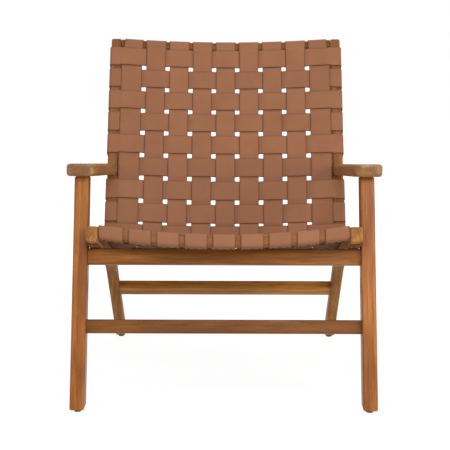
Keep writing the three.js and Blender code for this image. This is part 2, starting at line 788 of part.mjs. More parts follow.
for (const side of [-1, 1]) {
  const hand = side < 0 ? 'left' : 'right';
  const span = (inner, outer) => (side < 0 ? [-outer, -inner] : [inner, outer]);

  const postTenon = (extra) => block(postTenonMiddle, backLine, tenonThickness + 2 * extra,
    2 * (postTenonLength + extra), postTenonDepth + 2 * extra, side * sideMiddle);
  const sideRail = sawn(rail.shape, ...span(sideInner, sideOuter))
    .subtract(postTenon(clearance))
    .subtract(dishedMortise(frontRail, frontRailThickness))
    .subtract(barMortise(rearStretcherMiddle, legLine, rearStretcherWidth, sideInner))
    .subtract(roundAlongX(boltRadius + clearance,
      ...span(sideOuter - boltReach - clearance, sideOuter + overrun), boltMiddle))
    .subtract(nailHole(side * sideMiddle, rearFoot));
  addSolid(`side_rail_${hand}`, sideRail, teak);

  const postBody = sawn(postShape(), ...span(sideInner, sideOuter));
  const post = postBody.add(postTenon(0).intersect(tenonSide()))
    .subtract(dishedMortise(topRail, topRailHeight))
    .subtract(dowel(side, clearance));
  addSolid(`back_post_${hand}`, post, teak);

  const arm = armrest(side)
    .subtract(behindPost())
    .subtract(legTenon(clearance)(side))
    .subtract(dowel(side, clearance));
  addSolid(`armrest_${hand}`, arm, darkTeak);
  addSolid(`armrest_dowel_${hand}`, dowel(side, 0), teak);

  const headHigh = legOuter - boltPlugHeight;
  const head = roundAlongX(boltHeadRadius, ...span(headHigh - boltHeadHeight, headHigh), boltMiddle);
  const shank = roundAlongX(boltRadius, ...span(sideOuter - boltReach, headHigh), boltMiddle);
  const bolt = head.add(shank);
  const counterbore = roundAlongX(boltHeadRadius + clearance,
    ...span(headHigh - boltHeadHeight - clearance, legOuter + overrun), boltMiddle);
  const frontLeg = sawn(leg.shape, ...span(legInner, legOuter))
    .add(legTenon(0)(side).intersect(aboveLeg()))
    .subtract(barMortise(apronMiddle, legAxis, apronHeight, legInner))
    .subtract(barMortise(stretcherMiddle, legAxis, stretcherHeight, legInner))
    .subtract(roundAlongX(boltRadius + clearance, ...span(legInner - overrun, legOuter), boltMiddle))
    .subtract(counterbore)
    .subtract(nailHole(side * legMiddle, leg.foot));
  addSolid(`front_leg_${hand}`, frontLeg, teak);
  addSolid(`leg_bolt_${hand}`, bolt, steel);
  addSolid(`leg_spacer_${hand}`,
    roundAlongX(spacerRadius, ...span(sideOuter + clearance, legInner - clearance), boltMiddle)
      .subtract(roundAlongX(boltRadius + clearance, ...span(sideOuter, legInner), boltMiddle)), steel);
  addSolid(`bolt_plug_${hand}`,
    roundAlongX(boltHeadRadius, ...span(headHigh + clearance, legOuter), boltMiddle), darkTeak);
  addSolid(`front_glide_${hand}`, glide(side * legMiddle, leg.foot), nylon);
  addSolid(`rear_glide_${hand}`, glide(side * sideMiddle, rearFoot), nylon);
}

for (let strap = 0; strap < strapCount; strap += 1) {
  addPiece(`long_strap_${strap + 1}`, longStrap(strap, front, top), leather);
}
for (let row = 0; row < rowCount; row += 1) {
  addPiece(`cross_strap_${row + 1}`, crossStrap(row), leather);
}

// The origin is on the floor, under the middle of the chair
chair.updateMatrixWorld(true);
const reach = new THREE.Box3().setFromObject(chair);
const placed = new THREE.Group();
chair.position.y = -(reach.min.y + reach.max.y) / 2;
placed.add(chair);

export default placed;
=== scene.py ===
"""Lounge chair: a teak frame and a sling of woven leather straps. Metres, +Z up, the chair faces -Y."""

import math

import bpy
import numpy as np
from mathutils import Matrix, Vector


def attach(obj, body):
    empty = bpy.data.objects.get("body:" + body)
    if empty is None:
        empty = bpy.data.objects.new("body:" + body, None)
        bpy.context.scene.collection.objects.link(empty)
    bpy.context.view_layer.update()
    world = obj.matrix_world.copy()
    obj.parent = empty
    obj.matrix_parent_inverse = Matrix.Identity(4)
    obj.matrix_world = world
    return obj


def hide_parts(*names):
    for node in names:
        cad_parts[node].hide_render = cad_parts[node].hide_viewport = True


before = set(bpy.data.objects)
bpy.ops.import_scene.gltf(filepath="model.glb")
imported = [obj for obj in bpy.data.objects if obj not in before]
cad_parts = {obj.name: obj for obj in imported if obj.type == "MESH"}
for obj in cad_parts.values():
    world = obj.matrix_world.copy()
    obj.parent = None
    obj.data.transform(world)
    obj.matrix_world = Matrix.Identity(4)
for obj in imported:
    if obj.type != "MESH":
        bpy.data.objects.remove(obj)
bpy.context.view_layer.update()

# The camera. A long lens a little above the armrests, looking down by 8 degrees, as in the photograph.
# It stands a little to the right of the middle, turned back by a quarter degree and hardly rolled.
PICTURE_WIDTH = 450
FOCAL_PIXELS = 1243
SENSOR_WIDTH = 36.0
EYE = Vector((0.0124, -2.9817, 0.7775))
PITCH = math.radians(8.0)
ROLL = math.radians(0.13)
YAW = math.radians(0.229)
camera_data = bpy.data.cameras.new("camera")
camera_data.sensor_width = SENSOR_WIDTH
camera_data.lens = FOCAL_PIXELS / PICTURE_WIDTH * SENSOR_WIDTH
camera = bpy.data.objects.new("camera", camera_data)
bpy.context.scene.collection.objects.link(camera)
turn = (Matrix.Rotation(YAW, 4, "Z") @ Matrix.Rotation(math.pi / 2 - PITCH, 4, "X")
        @ Matrix.Rotation(ROLL, 4, "Z"))
camera.matrix_world = Matrix.Translation(EYE) @ turn
bpy.context.scene.camera = camera

# The studio. Large soft lamps in front and above, each with its place, width and power in watts, and
# an even surround. What the camera and the gloss see of the surround is plain white, and that white
# adds no light to the chair.
bpy.context.scene.view_settings.view_transform = "Standard"
LAMPS = (
    ("front_lamp", (0.3, -2.8, 2.1), 1.9, 42.0),
    ("right_lamp", (1.7, -1.7, 1.0), 1.2, 24.0),
    ("left_lamp", (-2.1, -1.3, 1.0), 1.0, 9.0),
    ("top_lamp", (0.2, 0.5, 2.9), 2.0, 20.0),
)
LOOK_AT = Vector((0.0, 0.0, 0.42))
for name, place, size, power in LAMPS:
    lamp_data = bpy.data.lights.new(name, "AREA")
    lamp_data.shape = "DISK"
    lamp_data.size = size
    lamp_data.energy = power
    lamp = bpy.data.objects.new(name, lamp_data)
    bpy.context.scene.collection.objects.link(lamp)
    lamp.location = place
    lamp.rotation_euler = (LOOK_AT - Vector(place)).to_track_quat("-Z", "Y").to_euler()


def looked_at(tree):
    """1 where the camera, gloss or glass looks at a surface, and 0 where the surface gives light."""
    rays = tree.nodes.new("ShaderNodeLightPath")
    seen = rays.outputs["Is Camera Ray"]
    for kind in ("Is Glossy Ray", "Is Transmission Ray"):
        either = tree.nodes.new("ShaderNodeMath")
        either.operation = "MAXIMUM"
        tree.links.new(seen, either.inputs[0])
        tree.links.new(rays.outputs[kind], either.inputs[1])
        seen = either.outputs["Value"]
    return seen


def either_light(tree, share, first, second):
    """The first light where the share is 0, the second where it is 1."""
    choice = tree.nodes.new("ShaderNodeMixShader")
    tree.links.new(share, choice.inputs["Fac"])
    tree.links.new(first, choice.inputs[1])
    tree.links.new(second, choice.inputs[2])
    return choice.outputs["Shader"]


world = bpy.data.worlds.new("surround")
bpy.context.scene.world = world
world.use_nodes = True
surround = world.node_tree
surround.nodes.clear()
soft_light = surround.nodes.new("ShaderNodeBackground")
soft_light.inputs["Color"].default_value = (1.0, 0.985, 0.965, 1.0)
soft_light.inputs["Strength"].default_value = 0.42
backdrop = surround.nodes.new("ShaderNodeBackground")
backdrop.inputs["Color"].default_value = (1.0, 1.0, 1.0, 1.0)
backdrop.inputs["Strength"].default_value = 1.0
shown = either_light(surround, looked_at(surround), soft_light.outputs["Background"],
                     backdrop.outputs["Background"])
surround.links.new(shown, surround.nodes.new("ShaderNodeOutputWorld").inputs["Surface"])

# The floor. A plain sheet that runs out of sight. The camera sees it white, with a faint shadow near
# the feet: there it shows part of its own paint, and further off the white alone.
FLOOR_REACH = 12.0
SHADOW_NEAR = 0.5
SHADOW_FAR = 1.9
SHADOW_SHARE = 0.22


def new_finish(name):
    """A new material, its node tree and its shader."""
    material = bpy.data.materials.new(name)
    material.use_nodes = True
    return material, material.node_tree, material.node_tree.nodes["Principled BSDF"]


def ranged(tree, value, taken, given, interpolation="LINEAR"):
    """A value carried over from one range to another, and held at the ends."""
    scale = tree.nodes.new("ShaderNodeMapRange")
    scale.interpolation_type = interpolation
    for label, number in zip(("From Min", "From Max", "To Min", "To Max"), (*taken, *given)):
        scale.inputs[label].default_value = number
    tree.links.new(value, scale.inputs["Value"])
    return scale.outputs["Result"]


floor_mesh = bpy.data.meshes.new("floor")
corners = [(-1, -1), (1, -1), (1, 1), (-1, 1)]
floor_mesh.from_pydata([(FLOOR_REACH * x, FLOOR_REACH * y, 0.0) for x, y in corners], [], [(0, 1, 2, 3)])
floor = bpy.data.objects.new("floor", floor_mesh)
bpy.context.scene.collection.objects.link(floor)
floor_paint, tree, paint = new_finish("floor_paint")
paint.inputs["Base Color"].default_value = (0.62, 0.62, 0.62, 1.0)
paint.inputs["Roughness"].default_value = 0.85
bright = tree.nodes.new("ShaderNodeEmission")
bright.inputs["Strength"].default_value = 1.17
away = tree.nodes.new("ShaderNodeVectorMath")
away.operation = "LENGTH"
tree.links.new(tree.nodes.new("ShaderNodeTexCoord").outputs["Object"], away.inputs[0])
near = ranged(tree, away.outputs["Value"], (SHADOW_NEAR, SHADOW_FAR), (SHADOW_SHARE, 0.0), "SMOOTHSTEP")
seen = either_light(tree, near, bright.outputs["Emission"], paint.outputs["BSDF"])
shown = either_light(tree, looked_at(tree), paint.outputs["BSDF"], seen)
tree.links.new(shown, tree.nodes["Material Output"].inputs["Surface"])
floor_mesh.materials.append(floor_paint)

# The side rails. Each is one sawn teak board that carries the seat and sweeps down behind into the rear
# leg, planed, eased along its edges and oiled. Its grain runs nearly along the leg.
PITH_PLACE = (0.075, 0.042)     # the middle of the tree, beside the board
PITH_SHIFT = (0.011, -0.007)    # how far it moves from one seed to the next
BOARD_SHIFT = 0.37              # and the pattern along the board
FIBRE_DRAW = 0.045              # the share that lengths along the run count for
CLOUD_DRAW = 0.11
PORE_SHADE = 0.4                # of the rings' colour
FIBRE_SHINE = 0.7               # of the roughness between the fibres
RELIEF_HEIGHT = 0.0003


def mottle(tree, where, scale, detail=2.0, roughness=0.5):
    """Noise with so many spots to the metre, and finer spots inside them."""
    spots = tree.nodes.new("ShaderNodeTexNoise")
    spots.inputs["Scale"].default_value = scale
    spots.inputs["Detail"].default_value = detail
    spots.inputs["Roughness"].default_value = roughness
    tree.links.new(where, spots.inputs["Vector"])
    return spots.outputs["Fac"]


def drawn_out(tree, where, shares):
    """Places times a share in each direction, so that spots drawn on them come out longer there."""
    squeeze = tree.nodes.new("ShaderNodeVectorMath")
    squeeze.operation = "MULTIPLY"
    squeeze.inputs[1].default_value = shares
    tree.links.new(where, squeeze.inputs[0])
    return squeeze.outputs["Vector"]


def shaded(tree, value, low, low_colour, high, high_colour):
    """A colour that runs from one to the other while the value goes from low to high."""
    shade = tree.nodes.new("ShaderNodeValToRGB")
    first, last = shade.color_ramp.elements
    first.position, last.position = low, high
    first.color, last.color = (*low_colour, 1.0), (*high_colour, 1.0)
    tree.links.new(value, shade.inputs["Fac"])
    return shade.outputs["Color"]


def laid_over(tree, share, ground, top, blend="MIX"):
    """A colour laid over the ground, or multiplied with it, as far as the share says.

    Each of the three is the output of a node or a plain value."""
    layer = tree.nodes.new("ShaderNodeMix")
    layer.data_type = "RGBA"
    layer.blend_type = blend
    for value, socket in ((share, layer.inputs[0]), (ground, layer.inputs[6]), (top, layer.inputs[7])):
        if isinstance(value, bpy.types.NodeSocket):
            tree.links.new(value, socket)
        else:
            socket.default_value = value
    return layer.outputs[2]


def raised(tree, shader, height, strength):
    """Gives the shader a relief that rises with the height, by 0.3 mm where that is 1."""
    relief = tree.nodes.new("ShaderNodeBump")
    relief.inputs["Strength"].default_value = strength
    relief.inputs["Distance"].default_value = RELIEF_HEIGHT
    tree.links.new(height, relief.inputs["Height"])
    tree.links.new(relief.outputs["Normal"], shader.inputs["Normal"])


def teak(name, run, heart, pale, dark, seed, figure=0.36, dullest=0.5, gloss=0.2):
    """Oiled teak: growth rings round a pith beside the board, under long fibres, clouds and pores.

    The pattern is turned so that the fibres follow the run. Ring tone is a sawtooth of the distance
    to the pith, bent by noise; fibres and pores are noise stretched twenty times, clouds nine times.
    Faces that cut the fibres across soak up more oil and are darker. The clouds run from heart to
    pale, the rings are dark, and figure is how far they show. Dullest is the roughness between the
    fibres and gloss the specular level."""
    material, tree, shader = new_finish(name)
    place = tree.nodes.new("ShaderNodeTexCoord")
    turned = tree.nodes.new("ShaderNodeMapping")
    turn = Vector(run).rotation_difference(Vector((0, 1, 0)))
    turned.inputs["Rotation"].default_value = turn.to_euler()
    pith_x, pith_z = (at + shift * seed for at, shift in zip(PITH_PLACE, PITH_SHIFT))
    turned.inputs["Location"].default_value = (pith_x, BOARD_SHIFT * seed, pith_z)
    tree.links.new(place.outputs["Object"], turned.inputs["Vector"])
    board = turned.outputs["Vector"]

    rings = tree.nodes.new("ShaderNodeTexWave")
    rings.wave_type = "RINGS"
    rings.rings_direction = "Y"
    rings.wave_profile = "SAW"
    for label, number in (("Scale", 36.0), ("Distortion", 2.6), ("Detail", 3.0), ("Detail Scale", 0.16)):
        rings.inputs[label].default_value = number
    tree.links.new(board, rings.inputs["Vector"])
    along = drawn_out(tree, board, (1.0, FIBRE_DRAW, 1.0))
    fibres = mottle(tree, along, 330.0, 3.0, 0.6)
    pores = mottle(tree, along, 900.0, 1.0)
    clouds = mottle(tree, drawn_out(tree, board, (1.0, CLOUD_DRAW, 1.0)), 48.0, 3.0)

    ground = shaded(tree, clouds, 0.40, heart, 0.62, pale)
    ring_share = ranged(tree, rings.outputs["Fac"], (0.35, 1.0), (0.0, figure))
    wood = laid_over(tree, ring_share, ground, (*dark, 1.0))
    fibre_tone = shaded(tree, fibres, 0.36, (0.80, 0.76, 0.70), 0.62, (1.08, 1.08, 1.08))
    wood = laid_over(tree, 1.0, wood, fibre_tone, "MULTIPLY")
    pore_share = ranged(tree, pores, (0.66, 0.74), (0.0, 0.42))
    wood = laid_over(tree, pore_share, wood, (*(PORE_SHADE * part for part in dark), 1.0))
    facing = tree.nodes.new("ShaderNodeVectorMath")
    facing.operation = "DOT_PRODUCT"
    facing.inputs[1].default_value = run
    tree.links.new(place.outputs["Normal"], facing.inputs[0])
    endwise = tree.nodes.new("ShaderNodeMath")
    endwise.operation = "ABSOLUTE"
    tree.links.new(facing.outputs["Value"], endwise.inputs[0])
    soaked = ranged(tree, endwise.outputs["Value"], (0.55, 0.95), (1.0, 0.72))
    wood = laid_over(tree, 1.0, wood, soaked, "MULTIPLY")

    tree.links.new(wood, shader.inputs["Base Color"])
    dullness = ranged(tree, fibres, (0.3, 0.7), (dullest, FIBRE_SHINE * dullest))
    tree.links.new(dullness, shader.inputs["Roughness"])
    shader.inputs["Specular IOR Level"].default_value = gloss
    raised(tree, shader, fibres, 0.15)
    return material


def dress(material, *nodes):
    """Gives each named solid the material."""
    for node in nodes:
        for material_slot in bpy.data.objects[node].material_slots:
            material_slot.material = material


def side_run(degrees):
    """A direction in side view, so many degrees above level towards the back."""
    return (0.0, math.cos(math.radians(degrees)), math.sin(math.radians(degrees)))


rail_teak = teak("rail_teak", side_run(-37), (0.347, 0.140, 0.031), (0.514, 0.229, 0.057),
                 (0.191, 0.073, 0.018), 1, dullest=0.7)
dress(rail_teak, "side_rail_left", "side_rail_right")

# The back posts. They stand on the rails' horns with a tenon and lean back, and the cross straps wrap
# them, so that their wood shows only at their tops and at the armrests.
post_teak = teak("post_teak", side_run(64.4), (0.198, 0.076, 0.022), (0.296, 0.121, 0.037),
                 (0.117, 0.041, 0.014), 2, dullest=0.8)
dress(post_teak, "back_post_left", "back_post_right")

# The front legs. Straight square legs, raked to stand square to the seat, with a tenon up into the
# armrest. Broad streaks of paler wood run down them.
leg_teak = teak("leg_teak", side_run(73), (0.258, 0.080, 0.013), (0.393, 0.138, 0.025),
                (0.129, 0.038, 0.008), 3, dullest=0.44)
dress(leg_teak, "front_leg_left", "front_leg_right")

# The armrests. Thick teak paddles on the front legs that narrow to the posts, where a dowel holds
# each. Hands and oil have made them browner and smoother than the legs.
arm_teak = teak("arm_teak", side_run(-5.1), (0.272, 0.120, 0.034), (0.392, 0.178, 0.050),
                (0.120, 0.050, 0.016), 4, figure=0.15, dullest=0.39, gloss=0.4)
dress(arm_teak, "armrest_left", "armrest_right")
dress(arm_teak, "armrest_dowel_left", "armrest_dowel_right")

# The bars across. A deep apron and a stretcher join the front legs and a third bar, turned to the
# slope of the rear legs, joins those. All are round-edged teak with tenons let into the frame.
ACROSS = (1.0, 0.0, 0.0)
apron_teak = teak("apron_teak", ACROSS, (0.244, 0.082, 0.010), (0.391, 0.138, 0.020),
                  (0.127, 0.041, 0.005), 5)
dress(apron_teak, "front_apron")
stretcher_teak = teak("stretcher_teak", ACROSS, (0.160, 0.050, 0.006), (0.236, 0.080, 0.010),
                      (0.084, 0.024, 0.003), 6)
dress(stretcher_teak, "front_stretcher")
# The rear bar's teak is a much lighter copy of the other bars' teak. The extra lightness is painted
# light for the light that the floor throws up onto its lower face.
rear_bar_painted_light_teak = teak("rear_bar_painted_light_teak", ACROSS, (0.444, 0.178, 0.028), (0.672, 0.287, 0.050),
                     (0.229, 0.086, 0.015), 7)
dress(rear_bar_painted_light_teak, "rear_stretcher")

# The two dished rails. Curved teak bars at the front of the seat and the top of the back, tenoned
# into the side frames. The long straps are folded round them.
# The front rail's teak is darker than the legs'. This is partly the wood's own tone and partly painted
# shade for the shade that lies in the gaps between the straps.
dished_painted_shade_teak = teak("dished_painted_shade_teak", ACROSS, (0.193, 0.065, 0.010), (0.296, 0.107, 0.021),
                   (0.096, 0.029, 0.006), 8)
dress(dished_painted_shade_teak, "seat_front_rail")
# The top rail's teak is a darker copy of the front rail's. The extra darkness is painted shade for the
# deeper shade in the gaps between the straps at the top fold.
top_painted_shade_teak = teak("top_painted_shade_teak", ACROSS, (0.145, 0.056, 0.012), (0.220, 0.088, 0.022),
                (0.075, 0.027, 0.008), 10)
dress(top_painted_shade_teak, "back_top_rail")

# The leg bolts, a bolt on each side that holds leg and rail together, with a turned steel spacer
# between them. A plug of end-grain teak covers the head.
bolt_finish, tree, shader = new_finish("bolt_steel")
shader.inputs["Base Color"].default_value = (0.55, 0.56, 0.57, 1.0)
shader.inputs["Metallic"].default_value = 1.0
place = tree.nodes.new("ShaderNodeTexCoord").outputs["Object"]
turning_marks = mottle(tree, drawn_out(tree, place, (1.0, 0.05, 0.05)), 2600.0)
tree.links.new(ranged(tree, turning_marks, (0.0, 1.0), (0.24, 0.46)), shader.inputs["Roughness"])
dress(bolt_finish, "leg_bolt_left", "leg_bolt_right", "leg_spacer_left", "leg_spacer_right")
plug_teak = teak("plug_teak", ACROSS, (0.123, 0.045, 0.013), (0.190, 0.072, 0.020),
                 (0.067, 0.023, 0.007), 9)
dress(plug_teak, "bolt_plug_left", "bolt_plug_right")

# The glides. Small discs of brown moulded nylon, each on a nail in a foot, mottled with scuffs.
glide_nylon, tree, shader = new_finish("glide_nylon")
place = tree.nodes.new("ShaderNodeTexCoord").outputs["Object"]
scuffs = mottle(tree, place, 420.0, 3.0)
nylon = shaded(tree, scuffs, 0.42, (0.060, 0.043, 0.033), 0.72, (0.130, 0.098, 0.078))
tree.links.new(nylon, shader.inputs["Base Color"])
shader.inputs["Roughness"].default_value = 0.55
dress(glide_nylon, "front_glide_left", "front_glide_right", "rear_glide_left", "rear_glide_right")

# The sling's surface. The side frames give its line in side view: straight along the seat, round a
# short sweep, straight up the back. The straps hang a little behind that line between the frames,
# because the front rail and the top rail that carry them are dished.
NOSE_Y = -0.337432
SEAT_HEIGHT = 0.4037
SEAT_DEPTH = 0.408
BACK_HEIGHT = 0.579
SEAT_SLOPE = math.radians(17.0)
BACK_SLOPE = math.radians(90.0 - 25.6)
SWEEP_RADIUS = 0.055      # of the wood line where the seat turns up into the back
SWEEP_TURN = SEAT_SLOPE + BACK_SLOPE
SWEEP_REACH = SWEEP_RADIUS * math.tan(SWEEP_TURN / 2)
SWEEP_START = SEAT_DEPTH - SWEEP_REACH
SWEEP_END = SWEEP_START + SWEEP_RADIUS * SWEEP_TURN
SLING_END = SWEEP_END + BACK_HEIGHT - SWEEP_REACH
INSIDE_HALF = 0.272
FRAME_WIDTH = 0.026

# The straps of the sling, in numbers: nine long ones between the side frames and fifteen rows across.
# Places along the sling are counted from the nose of the side frames, along the wood line.
STRAP_COUNT = 9
ROW_COUNT = 15
SEAT_ROW_COUNT = 6
STRAP_GAP = 0.0114
SEAT_GAP = 0.014
LUMBAR_GAP = 0.0064
STRAP_PITCH = 2 * INSIDE_HALF / STRAP_COUNT
STRAP_WIDTH = STRAP_PITCH - STRAP_GAP
STRAP_THICKNESS = 0.0026
CLEARANCE = 0.0003
PLAY = 0.0002
LIFT = CLEARANCE + STRAP_THICKNESS / 2      # of a strap's middle over the wood
SWING = STRAP_THICKNESS / 2 + PLAY          # up or down from there where straps cross
FRONT_START = STRAP_THICKNESS + 2 * CLEARANCE
FRONT_TAIL = 0.024
FRONT_END = FRONT_START + FRONT_TAIL
FRONT_HEIGHT = 0.025
TOP_TAIL = 0.021
TOP_START = SLING_END - TOP_TAIL
TOP_THICKNESS = 0.024
RAIL_ROUNDING = 0.005
ROWS_MARGIN = 0.008
ROWS_START = FRONT_END + ROWS_MARGIN
ROWS_END = TOP_START - STRAP_THICKNESS - 3 * CLEARANCE
rows = np.arange(ROW_COUNT)
gaps_before = np.where(rows <= SEAT_ROW_COUNT, rows * SEAT_GAP,
                       SEAT_ROW_COUNT * SEAT_GAP + LUMBAR_GAP + (rows - SEAT_ROW_COUNT - 1) * STRAP_GAP)
ROW_WIDTH = (ROWS_END - ROWS_START - gaps_before[-1]) / ROW_COUNT
ROW_PLACES = ROWS_START + ROW_WIDTH * (rows + 0.5) + gaps_before
STRAP_PLACES = (np.arange(STRAP_COUNT) - (STRAP_COUNT - 1) / 2) * STRAP_PITCH


def smooth_steps(places, values, at):
    """Values that hold or change smoothly from each place to the next: v0 + (v1 - v0) t^2 (3 - 2t)."""
    places = np.asarray(places)
    values = np.asarray(values)
    low = np.clip(np.searchsorted(places, at) - 1, 0, len(places) - 2)
    share = np.clip((at - places[low]) / (places[low + 1] - places[low]), 0, 1)
    return values[low] + (values[low + 1] - values[low]) * share ** 2 * (3 - 2 * share)


DISH_PLACES = ROW_PLACES[[0, 3, 5, 6, 10, 14]]
DISH_DEPTHS = (0.020, 0.020, 0.015, 0.026, 0.014, 0.022)


def dish(x, distance):
    """How far the sling hangs behind the wood line: the middle's depth times 1 - (x / half width)^2."""
    share = np.clip(np.abs(x) / INSIDE_HALF, 0, 1)
    return smooth_steps(DISH_PLACES, DISH_DEPTHS, distance) * (1 - share ** 2)


def upward(distance):
    """The side-view normal of the wood line, which turns evenly round the sweep."""
    turned = np.clip((distance - SWEEP_START) / SWEEP_RADIUS, 0, SWEEP_TURN)
    angle = math.pi / 2 - SEAT_SLOPE + turned
    return np.cos(angle), np.sin(angle)


def sling(x, distance, lift):
    """Points at x, so far along the wood line from the nose, and so high over the dished surface."""
    up_y, up_z = upward(distance)
    along_seat = np.minimum(distance, SWEEP_START)
    along_back = np.maximum(distance - SWEEP_END, 0)
    seat_y, seat_z = math.cos(SEAT_SLOPE), -math.sin(SEAT_SLOPE)
    centre_y = NOSE_Y + SWEEP_START * seat_y - SWEEP_RADIUS * seat_z
    centre_z = SEAT_HEIGHT + SWEEP_START * seat_z + SWEEP_RADIUS * seat_y
    in_seat = distance < SWEEP_START
    wood_y = np.where(in_seat, NOSE_Y + along_seat * seat_y,
                      centre_y - SWEEP_RADIUS * up_y + along_back * math.cos(BACK_SLOPE))
    wood_z = np.where(in_seat, SEAT_HEIGHT + along_seat * seat_z,
                      centre_z - SWEEP_RADIUS * up_z + along_back * math.sin(BACK_SLOPE))
    height = lift - dish(x, distance)
    return np.stack([x + 0 * wood_y, wood_y + up_y * height, wood_z + up_z * height], axis=-1)


# Strap leather, tan and smooth, with a faint cloudiness, a fine grain, burnished rims, darker cut
# edges and a duller flesh side. The cut edges' dark colour is partly the leather's own and partly
# painted shade for the shade along the straps' sides. Each strap is cut from another part of a hide and
# has its own tone.


def noted(tree, label):
    """What each strap's mesh notes under the label."""
    note = tree.nodes.new("ShaderNodeAttribute")
    note.attribute_name = label
    return note


leather, tree, shader = new_finish("strap_leather")
place = tree.nodes.new("ShaderNodeTexCoord").outputs["Object"]
tone, under, edge, rim = (noted(tree, label) for label in ("tone", "under", "edge", "rim"))
clouds = mottle(tree, place, 17.0, 4.0, 0.55)
hide = shaded(tree, clouds, 0.3, (0.252, 0.102, 0.047), 0.72, (0.288, 0.120, 0.057))
hide = laid_over(tree, 1.0, hide, tone.outputs["Color"], "MULTIPLY")
hide = laid_over(tree, under.outputs["Fac"], hide, (0.185, 0.090, 0.050, 1.0))
rubbed = tree.nodes.new("ShaderNodeMath")
rubbed.operation = "POWER"
rubbed.inputs[1].default_value = 4.0
tree.links.new(rim.outputs["Fac"], rubbed.inputs[0])
burnish = ranged(tree, rubbed.outputs["Value"], (0.0, 1.0), (1.0, 0.74))
hide = laid_over(tree, 1.0, hide, burnish, "MULTIPLY")
# The cut edges: darker leather, darkened further as painted shade for the shade along the straps' sides.
hide = laid_over(tree, edge.outputs["Fac"], hide, (0.100, 0.036, 0.018, 1.0))
tree.links.new(hide, shader.inputs["Base Color"])
grain = tree.nodes.new("ShaderNodeTexVoronoi")
grain.inputs["Scale"].default_value = 800.0
tree.links.new(place, grain.inputs["Vector"])
raised(tree, shader, grain.outputs["Distance"], 0.3)
duller = tree.nodes.new("ShaderNodeMix")
tree.links.new(under.outputs["Fac"], duller.inputs[0])
tree.links.new(ranged(tree, clouds, (0.3, 0.7), (0.5, 0.62)), duller.inputs[2])
duller.inputs[3].default_value = 0.95
tree.links.new(duller.outputs[0], shader.inputs["Roughness"])
shader.inputs["Specular IOR Level"].default_value = 0.2

# A strap's section: a thin rectangle with rounded edges, as places across and through the leather.
# It runs along the grain side from edge to edge, round one edge, and back along the flesh side.
EDGE_ROUNDING = 0.0009
EDGE_START = 0.2        # how far into the rounding the cut edge's colour starts
FLAT_STEPS = 8
RIM_STEPS = 2           # how many of half the flat steps the burnished rim takes
ROUND_STEPS = 4
flat_half = np.linspace(-1, 1, FLAT_STEPS + 1)
turns = np.linspace(0, math.pi / 2, ROUND_STEPS + 1)[1:-1]
rounding_low = STRAP_THICKNESS / 2 - EDGE_ROUNDING


def strap_section(width):
    """Across and through offsets of the section's points, and which are edge, flesh side and rim."""
    reach = width / 2 - EDGE_ROUNDING
    corner_across = reach + EDGE_ROUNDING * np.sin(turns)
    corner_through = rounding_low + EDGE_ROUNDING * np.cos(turns)
    side_across = np.array([width / 2, width / 2])
    side_through = np.array([rounding_low, -rounding_low])
    right_across = np.concatenate([corner_across, side_across, corner_across[::-1]])
    right_through = np.concatenate([corner_through, side_through, -corner_through[::-1]])
    across = np.concatenate([flat_half * reach, right_across, flat_half[::-1] * reach, -right_across])
    through = np.concatenate([np.full(FLAT_STEPS + 1, STRAP_THICKNESS / 2), right_through,
                              np.full(FLAT_STEPS + 1, -STRAP_THICKNESS / 2), -right_through])
    is_edge = (np.abs(across) > reach + EDGE_ROUNDING * EDGE_START).astype(float)
    is_under = (through < 0).astype(float)
    rim_start = 1 - RIM_STEPS / FLAT_STEPS
    is_rim = np.clip((np.abs(across) / reach - rim_start) / (1 - rim_start), 0, 1)
    return across, through, {"edge": is_edge, "under": is_under, "rim": is_rim}


def strap_object(name, points, places, tone_value):
    """A closed strap from rings of points, with its edges, flesh side, rims and tone as attributes."""
    ring_count, around = points.shape[:2]
    index = np.arange(ring_count * around).reshape(ring_count, around)
    after = np.roll(index, -1, axis=1)
    quads = np.stack([index[:-1], after[:-1], after[1:], index[1:]], axis=-1).reshape(-1, 4)
    faces = quads.tolist() + [index[0, ::-1].tolist(), index[-1].tolist()]
    mesh = bpy.data.meshes.new(name)
    mesh.from_pydata(points.reshape(-1, 3).tolist(), [], faces)
    mesh.polygons.foreach_set("use_smooth", [True] * (len(faces) - 2) + [False] * 2)
    for label, values in places.items():
        attribute = mesh.attributes.new(label, "FLOAT", "POINT")
        attribute.data.foreach_set("value", np.tile(values, ring_count))
    tints = np.tile(np.append(tone_value, 1.0), ring_count * around)
    mesh.attributes.new("tone", "FLOAT_COLOR", "POINT").data.foreach_set("color", tints)
    mesh.materials.append(leather)
    strap = bpy.data.objects.new(name, mesh)
    bpy.context.scene.collection.objects.link(strap)
    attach(strap, "root")
    return strap


def path_normals(across, lift):
    """The two parts of a path's normal, which lies to the left of its run."""
    run_across = np.gradient(across)
    run_lift = np.gradient(lift)
    length = np.hypot(run_across, run_lift)
    return -run_lift / length, run_across / length


# The long straps, nine strips of leather from under the front rail, over and under the rows, to
# behind the top rail. Each is folded round both rails and tacked out of sight. The leather spreads a
# little at the top fold, and the two outermost straps are a little wider and drawn inwards there.
STEP = 0.003                    # between the points of a path
HOLD = 0.0215                   # how far a strap keeps its height, each way from one that it crosses
SPREAD_START = ROW_PLACES[-1]
TOP_SPREAD = 0.0015             # what each edge gains at the top fold
OUTER_EDGE = 0.0036             # what the outermost straps' outer edges gain, and what they lose and
OUTER_EDGE_TOP = -0.0041        # the inner edges gain at the top fold
INNER_EDGE_TOP = 0.0024
BEND = RAIL_ROUNDING + LIFT
BEND_STEPS = 10
TONE_RANGE = 0.05
HUE_RANGE = 0.012
FRONT_MIDDLE = FRONT_START + RAIL_ROUNDING
TOP_MIDDLE = SLING_END - RAIL_ROUNDING
tones = np.random.default_rng(11)


